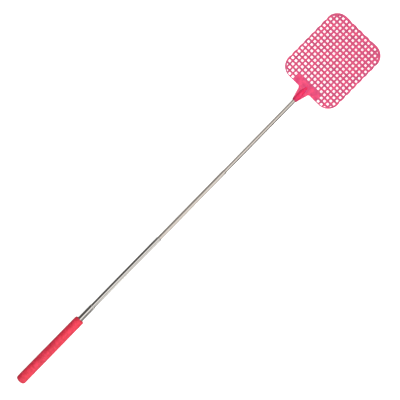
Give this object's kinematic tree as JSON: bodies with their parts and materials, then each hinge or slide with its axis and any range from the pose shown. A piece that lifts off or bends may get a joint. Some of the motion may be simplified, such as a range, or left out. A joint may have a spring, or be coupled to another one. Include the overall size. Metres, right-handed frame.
{
  "type": "telescopic fly swatter",
  "caption": "Fly swatter with a mesh blade on a telescopic metal rod that slides and turns, and a soft round grip.",
  "frame": {"origin": "on the axis of the tubes, halfway along the grip", "axes": "+X along the handle from the grip to the blade, +Z square to the blade, +Y across the blade"},
  "size_m": [0.734, 0.1032, 0.0156],
  "materials": {
    "grip": "soft matt, faintly stippled",
    "tube": "polished",
    "bush": "turned",
    "spring": "satin spring bronze",
    "plug": "moulded",
    "head": "glossy, slightly translucent"
  },
  "bodies": {
    "handle": {"grip": "grip", "end_plug": "plug", "outer_tube": "tube"},
    "second_springs": {"second_tube_spring_left": "spring", "second_tube_spring_right": "spring"},
    "second_section": {"second_tube": "tube", "second_tube_collar": "bush", "second_tube_bush": "bush"},
    "third_springs": {"third_tube_spring_left": "spring", "third_tube_spring_right": "spring"},
    "third_section": {"third_tube": "tube", "third_tube_collar": "bush", "third_tube_bush": "bush"},
    "top_springs": {"top_tube_spring_left": "spring", "top_tube_spring_right": "spring"},
    "top_section": {"top_tube": "tube", "top_tube_collar": "bush", "top_tube_bush": "bush", "socket": "head", "blade": "head"}
  },
  "joints": [
    {"name": "second_tube_slide", "type": "slide", "parent": "handle", "child": "second_springs", "axis": [1, 0, 0], "range_m": [-0.1389, 0]},
    {"name": "second_tube_turn", "type": "hinge", "parent": "second_springs", "child": "second_section", "pos_m": [0, 0, 0], "axis": [1, 0, 0], "continuous": true},
    {"name": "third_tube_slide", "type": "slide", "parent": "second_section", "child": "third_springs", "axis": [1, 0, 0], "range_m": [-0.138, 0]},
    {"name": "third_tube_turn", "type": "hinge", "parent": "third_springs", "child": "third_section", "pos_m": [0, 0, 0], "axis": [1, 0, 0], "continuous": true},
    {"name": "top_tube_slide", "type": "slide", "parent": "third_section", "child": "top_springs", "axis": [1, 0, 0], "range_m": [-0.136, 0]},
    {"name": "top_tube_turn", "type": "hinge", "parent": "top_springs", "child": "top_section", "pos_m": [0, 0, 0], "axis": [1, 0, 0], "continuous": true}
  ]
}
